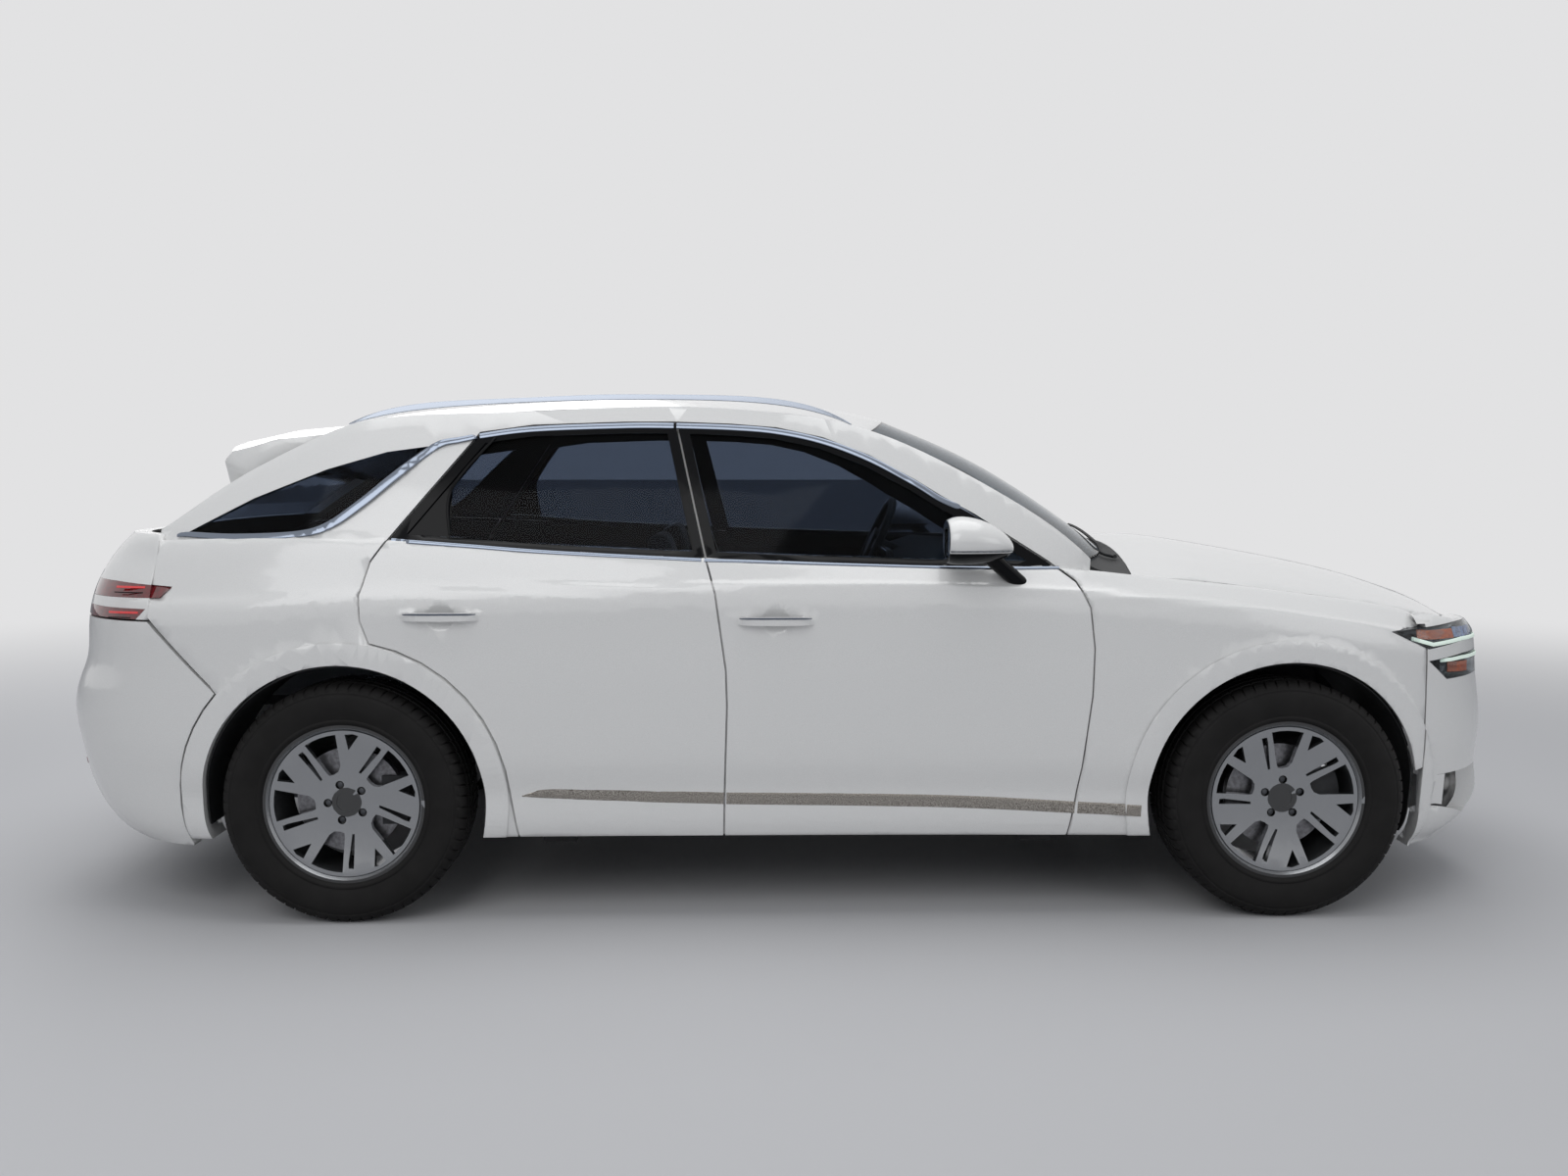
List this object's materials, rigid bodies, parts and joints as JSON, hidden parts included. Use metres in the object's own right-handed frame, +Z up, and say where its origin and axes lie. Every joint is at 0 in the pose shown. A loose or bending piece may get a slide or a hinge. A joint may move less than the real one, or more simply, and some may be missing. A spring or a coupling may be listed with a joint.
{
  "type": "sport utility car",
  "caption": "White family sport utility car with dark glass, silver roof rails and alloy wheels; its doors, hood and tailgate open, the front wheels steer and all wheels roll.",
  "frame": {"origin": "on the ground, under the middle of the car", "axes": "+X towards the nose, +Y towards the left side of the car, +Z up"},
  "size_m": [4.7157, 2.1746, 1.6254],
  "materials": {
    "paint": "gloss",
    "glass": "polished",
    "lamp_clear": "polished",
    "lamp_red": "polished",
    "tyre": "matte",
    "alloy": "satin",
    "black_plastic": "matte",
    "gloss_black": "gloss",
    "steel": "satin",
    "cast": "matte",
    "leather": "satin"
  },
  "bodies": {
    "body": {"arch_liners": "black_plastic", "bumper_front": "paint", "bumper_rear": "paint", "cowl": "black_plastic", "dashboard": "black_plastic", "engine": "cast", "exhaust": "steel", "fender_left": "paint", "fender_right": "paint", "floor_pan": "cast", "front_frame": "cast", "front_seats": "leather", "front_suspension": "cast", "grille": "gloss_black", "headlamps": "lamp_clear", "quarter_glass": "glass", "radiator": "steel", "rear_seat": "leather", "rear_suspension": "cast", "roof_panel": "paint", "roof_rails": "alloy", "side_frame_left": "paint", "side_frame_right": "paint", "steering_wheel": "leather", "tail_lamps": "lamp_red", "windscreen": "glass"},
    "door_front_left": {"door_front_left": "paint", "glass_front_left": "glass", "mirror_left": "paint"},
    "door_front_right": {"door_front_right": "paint", "glass_front_right": "glass", "mirror_right": "paint"},
    "door_rear_left": {"door_rear_left": "paint", "glass_rear_left": "glass"},
    "door_rear_right": {"door_rear_right": "paint", "glass_rear_right": "glass"},
    "hood": {"hood": "paint"},
    "tailgate": {"tailgate_panel": "paint", "tailgate_glass": "glass", "tailgate_lamps": "lamp_red", "tailgate_spoiler": "paint"},
    "knuckle_left": {"knuckle_front_left": "cast"},
    "knuckle_right": {"knuckle_front_right": "cast"},
    "wheel_front_left": {"wheel_front_left": "alloy", "tyre_front_left": "tyre"},
    "wheel_front_right": {"wheel_front_right": "alloy", "tyre_front_right": "tyre"},
    "wheel_rear_left": {"wheel_rear_left": "alloy", "tyre_rear_left": "tyre"},
    "wheel_rear_right": {"wheel_rear_right": "alloy", "tyre_rear_right": "tyre"}
  },
  "joints": [
    {"name": "door_front_left_hinge", "type": "hinge", "parent": "body", "child": "door_front_left", "pos_m": [0.9045, 0.9575, 0.65], "axis": [0, 0, -1], "range_deg": [0, 68]},
    {"name": "door_rear_left_hinge", "type": "hinge", "parent": "body", "child": "door_rear_left", "pos_m": [-0.2035, 0.9575, 0.65], "axis": [0, 0, -1], "range_deg": [0, 68]},
    {"name": "door_front_right_hinge", "type": "hinge", "parent": "body", "child": "door_front_right", "pos_m": [0.9045, -0.9575, 0.65], "axis": [0, 0, 1], "range_deg": [0, 68]},
    {"name": "door_rear_right_hinge", "type": "hinge", "parent": "body", "child": "door_rear_right", "pos_m": [-0.2035, -0.9575, 0.65], "axis": [0, 0, 1], "range_deg": [0, 68]},
    {"name": "tailgate_hinge", "type": "hinge", "parent": "body", "child": "tailgate", "pos_m": [-1.4635, 0, 1.56], "axis": [0, 1, 0], "range_deg": [0, 78]},
    {"name": "hood_hinge", "type": "hinge", "parent": "body", "child": "hood", "pos_m": [1.027, 0, 1.12], "axis": [0, -1, 0], "range_deg": [0, 50]},
    {"name": "steer_left", "type": "hinge", "parent": "body", "child": "knuckle_left", "pos_m": [1.51, 0.758, 0.3695], "axis": [0, 0, 1], "range_deg": [-35, 35]},
    {"name": "steer_right", "type": "hinge", "parent": "body", "child": "knuckle_right", "pos_m": [1.51, -0.758, 0.3695], "axis": [0, 0, 1], "range_deg": [-35, 35]},
    {"name": "roll_front_left", "type": "hinge", "parent": "knuckle_left", "child": "wheel_front_left", "pos_m": [1.51, 0.82, 0.3695], "axis": [0, 1, 0], "continuous": true},
    {"name": "roll_front_right", "type": "hinge", "parent": "knuckle_right", "child": "wheel_front_right", "pos_m": [1.51, -0.82, 0.3695], "axis": [0, 1, 0], "continuous": true},
    {"name": "roll_rear_left", "type": "hinge", "parent": "body", "child": "wheel_rear_left", "pos_m": [-1.365, 0.825, 0.3695], "axis": [0, 1, 0], "continuous": true},
    {"name": "roll_rear_right", "type": "hinge", "parent": "body", "child": "wheel_rear_right", "pos_m": [-1.365, -0.825, 0.3695], "axis": [0, 1, 0], "continuous": true}
  ],
  "couplings": [
    {"joint": "steer_right", "follows": "steer_left", "ratio": 1}
  ]
}
